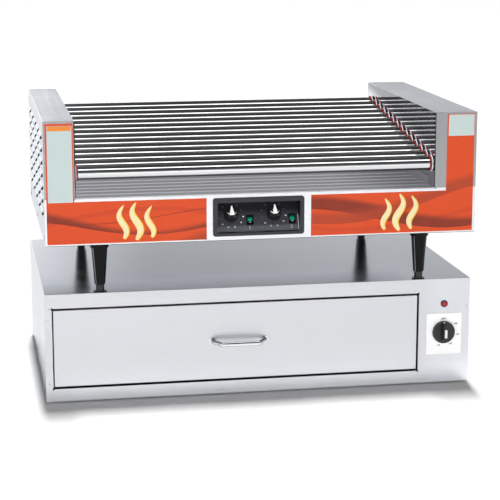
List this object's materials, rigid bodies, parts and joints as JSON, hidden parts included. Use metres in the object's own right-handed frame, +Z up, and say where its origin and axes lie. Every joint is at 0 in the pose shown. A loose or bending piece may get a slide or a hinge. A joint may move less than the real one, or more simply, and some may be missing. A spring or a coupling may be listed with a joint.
{
  "type": "hot dog roller grill on bun warmer cabinet",
  "caption": "Countertop hot dog roller grill with slanted heated roller tubes on legs, standing on a bun warmer cabinet with a drawer.",
  "frame": {"origin": "floor level under the centre of the whole object", "axes": "+Z up, +X right seen from the front, +Y towards the back"},
  "size_m": [0.928, 0.613, 0.6065],
  "materials": {
    "stainless_brushed": "fine brushed stainless sheet",
    "stainless_polished": "bright polished stainless sheet",
    "roller_stainless": "polished stainless tube",
    "zinc_steel": "zinc plated sheet steel",
    "chrome_handle": "bright chrome",
    "black_plastic": "fine grained moulded plastic",
    "gloss_black_plastic": "moulded plastic, satin gloss",
    "leg_plastic": "moulded black nylon",
    "rubber_black": "moulded rubber",
    "silicone_red": "silicone seal",
    "heater_sheath": "heat-tinted sheath",
    "cast_aluminium": "cast housing",
    "chain_steel": "oiled chain steel",
    "control_plate_paint": "satin charcoal paint",
    "dial_plate_white": "white enamel",
    "graphic_orange": "printed polycarbonate film",
    "switch_green": "translucent green rocker",
    "lamp_red": "translucent red lens",
    "phenolic": "moulded phenolic"
  },
  "bodies": {
    "frame": {"cabinet_shell": "stainless_brushed", "cabinet_front_frame": "stainless_brushed", "cabinet_rear_panel": "stainless_brushed", "cabinet_base": "zinc_steel", "control_bay_wall": "zinc_steel", "cabinet_feet": "rubber_black", "drawer_outer_rails": "zinc_steel", "warming_element": "heater_sheath", "thermostat_body": "phenolic", "thermostat_dial_plate": "dial_plate_white", "pilot_lamp": "lamp_red", "power_inlets": "black_plastic", "grill_legs": "leg_plastic", "leg_feet": "rubber_black", "grill_base_pan": "zinc_steel", "grill_front_panel": "stainless_brushed", "grill_rear_panel": "stainless_brushed", "left_bearing_plate": "stainless_polished", "right_bearing_plate": "stainless_polished", "left_end_cover": "stainless_brushed", "right_end_cover": "stainless_brushed", "cover_screws": "zinc_steel", "tray_rails": "zinc_steel", "roller_bushings": "black_plastic", "roller_seals": "silicone_red", "heater_rods": "heater_sheath", "heater_rod_clamps": "zinc_steel", "drive_chain": "chain_steel", "gear_motor": "cast_aluminium", "control_bezel": "black_plastic", "control_plate": "control_plate_paint", "heat_controls": "phenolic", "switch_housings": "black_plastic", "front_graphics": "graphic_orange"},
    "drawer": {"drawer_box": "stainless_brushed", "drawer_front": "stainless_brushed", "drawer_handle": "chrome_handle", "drawer_inner_rails": "zinc_steel"},
    "middle_rails": {"drawer_middle_rails": "zinc_steel"},
    "drip_tray": {"drip_tray": "stainless_brushed"},
    "thermostat_knob": {"thermostat_knob": "black_plastic"},
    "heat_knob_1": {"heat_knob_1": "gloss_black_plastic"},
    "heat_knob_2": {"heat_knob_2": "gloss_black_plastic"},
    "rocker_1": {"rocker_switch_1": "switch_green"},
    "rocker_2": {"rocker_switch_2": "switch_green"},
    "drive_sprocket": {"drive_sprocket": "chain_steel"},
    "roller_01": {"roller_01": "roller_stainless"},
    "roller_02": {"roller_02": "roller_stainless"},
    "roller_03": {"roller_03": "roller_stainless"},
    "roller_04": {"roller_04": "roller_stainless"},
    "roller_05": {"roller_05": "roller_stainless"},
    "roller_06": {"roller_06": "roller_stainless"},
    "roller_07": {"roller_07": "roller_stainless"},
    "roller_08": {"roller_08": "roller_stainless"},
    "roller_09": {"roller_09": "roller_stainless"},
    "roller_10": {"roller_10": "roller_stainless"},
    "roller_11": {"roller_11": "roller_stainless"},
    "roller_12": {"roller_12": "roller_stainless"},
    "roller_13": {"roller_13": "roller_stainless"},
    "roller_14": {"roller_14": "roller_stainless"}
  },
  "joints": [
    {"name": "roller_01_spin", "type": "hinge", "parent": "frame", "child": "roller_01", "pos_m": [0, -0.2795, 0.4952], "axis": [1, 0, 0], "continuous": true},
    {"name": "roller_02_spin", "type": "hinge", "parent": "frame", "child": "roller_02", "pos_m": [0, -0.23962, 0.50029], "axis": [1, 0, 0], "continuous": true},
    {"name": "roller_03_spin", "type": "hinge", "parent": "frame", "child": "roller_03", "pos_m": [0, -0.19975, 0.50539], "axis": [1, 0, 0], "continuous": true},
    {"name": "roller_04_spin", "type": "hinge", "parent": "frame", "child": "roller_04", "pos_m": [0, -0.15987, 0.51048], "axis": [1, 0, 0], "continuous": true},
    {"name": "roller_05_spin", "type": "hinge", "parent": "frame", "child": "roller_05", "pos_m": [0, -0.12, 0.51558], "axis": [1, 0, 0], "continuous": true},
    {"name": "roller_06_spin", "type": "hinge", "parent": "frame", "child": "roller_06", "pos_m": [0, -0.08012, 0.52067], "axis": [1, 0, 0], "continuous": true},
    {"name": "roller_07_spin", "type": "hinge", "parent": "frame", "child": "roller_07", "pos_m": [0, -0.04024, 0.52576], "axis": [1, 0, 0], "continuous": true},
    {"name": "roller_08_spin", "type": "hinge", "parent": "frame", "child": "roller_08", "pos_m": [0, -0.00037, 0.53086], "axis": [1, 0, 0], "continuous": true},
    {"name": "roller_09_spin", "type": "hinge", "parent": "frame", "child": "roller_09", "pos_m": [0, 0.03951, 0.53595], "axis": [1, 0, 0], "continuous": true},
    {"name": "roller_10_spin", "type": "hinge", "parent": "frame", "child": "roller_10", "pos_m": [0, 0.07938, 0.54105], "axis": [1, 0, 0], "continuous": true},
    {"name": "roller_11_spin", "type": "hinge", "parent": "frame", "child": "roller_11", "pos_m": [0, 0.11926, 0.54614], "axis": [1, 0, 0], "continuous": true},
    {"name": "roller_12_spin", "type": "hinge", "parent": "frame", "child": "roller_12", "pos_m": [0, 0.15913, 0.55124], "axis": [1, 0, 0], "continuous": true},
    {"name": "roller_13_spin", "type": "hinge", "parent": "frame", "child": "roller_13", "pos_m": [0, 0.19901, 0.55633], "axis": [1, 0, 0], "continuous": true},
    {"name": "roller_14_spin", "type": "hinge", "parent": "frame", "child": "roller_14", "pos_m": [0, 0.23889, 0.56142], "axis": [1, 0, 0], "continuous": true},
    {"name": "drive_sprocket_spin", "type": "hinge", "parent": "frame", "child": "drive_sprocket", "pos_m": [0.384, -0.02, 0.397], "axis": [1, 0, 0], "continuous": true},
    {"name": "drawer_slide", "type": "slide", "parent": "frame", "child": "drawer", "axis": [0, -1, 0], "range_m": [0, 0.45]},
    {"name": "middle_rail_slide", "type": "slide", "parent": "frame", "child": "middle_rails", "axis": [0, -1, 0], "range_m": [0, 0.225]},
    {"name": "drip_tray_slide", "type": "slide", "parent": "frame", "child": "drip_tray", "axis": [0, -1, 0], "range_m": [0, 0.54]},
    {"name": "thermostat_knob_turn", "type": "hinge", "parent": "frame", "child": "thermostat_knob", "pos_m": [0.4055, -0.28, 0.1178], "axis": [0, -1, 0], "range_deg": [-290, 0]},
    {"name": "heat_knob_1_turn", "type": "hinge", "parent": "frame", "child": "heat_knob_1", "pos_m": [-0.0688, -0.28294, 0.39694], "axis": [0, -0.9063, 0.4226], "range_deg": [-285, 0]},
    {"name": "heat_knob_2_turn", "type": "hinge", "parent": "frame", "child": "heat_knob_2", "pos_m": [0.0233, -0.28294, 0.39694], "axis": [0, -0.9063, 0.4226], "range_deg": [-285, 0]},
    {"name": "rocker_1_tip", "type": "hinge", "parent": "frame", "child": "rocker_1", "pos_m": [-0.0294, -0.28538, 0.38461], "axis": [1, 0, 0], "range_deg": [-16, 0]},
    {"name": "rocker_2_tip", "type": "hinge", "parent": "frame", "child": "rocker_2", "pos_m": [0.0614, -0.28538, 0.38461], "axis": [1, 0, 0], "range_deg": [-16, 0]}
  ],
  "couplings": [
    {"joint": "roller_02_spin", "follows": "roller_01_spin", "ratio": 1},
    {"joint": "roller_03_spin", "follows": "roller_01_spin", "ratio": 1},
    {"joint": "roller_04_spin", "follows": "roller_01_spin", "ratio": 1},
    {"joint": "roller_05_spin", "follows": "roller_01_spin", "ratio": 1},
    {"joint": "roller_06_spin", "follows": "roller_01_spin", "ratio": 1},
    {"joint": "roller_07_spin", "follows": "roller_01_spin", "ratio": 1},
    {"joint": "roller_08_spin", "follows": "roller_01_spin", "ratio": 1},
    {"joint": "roller_09_spin", "follows": "roller_01_spin", "ratio": 1},
    {"joint": "roller_10_spin", "follows": "roller_01_spin", "ratio": 1},
    {"joint": "roller_11_spin", "follows": "roller_01_spin", "ratio": 1},
    {"joint": "roller_12_spin", "follows": "roller_01_spin", "ratio": 1},
    {"joint": "roller_13_spin", "follows": "roller_01_spin", "ratio": 1},
    {"joint": "roller_14_spin", "follows": "roller_01_spin", "ratio": 1},
    {"joint": "drive_sprocket_spin", "follows": "roller_01_spin", "ratio": 1.2143},
    {"joint": "middle_rail_slide", "follows": "drawer_slide", "ratio": 0.5}
  ]
}
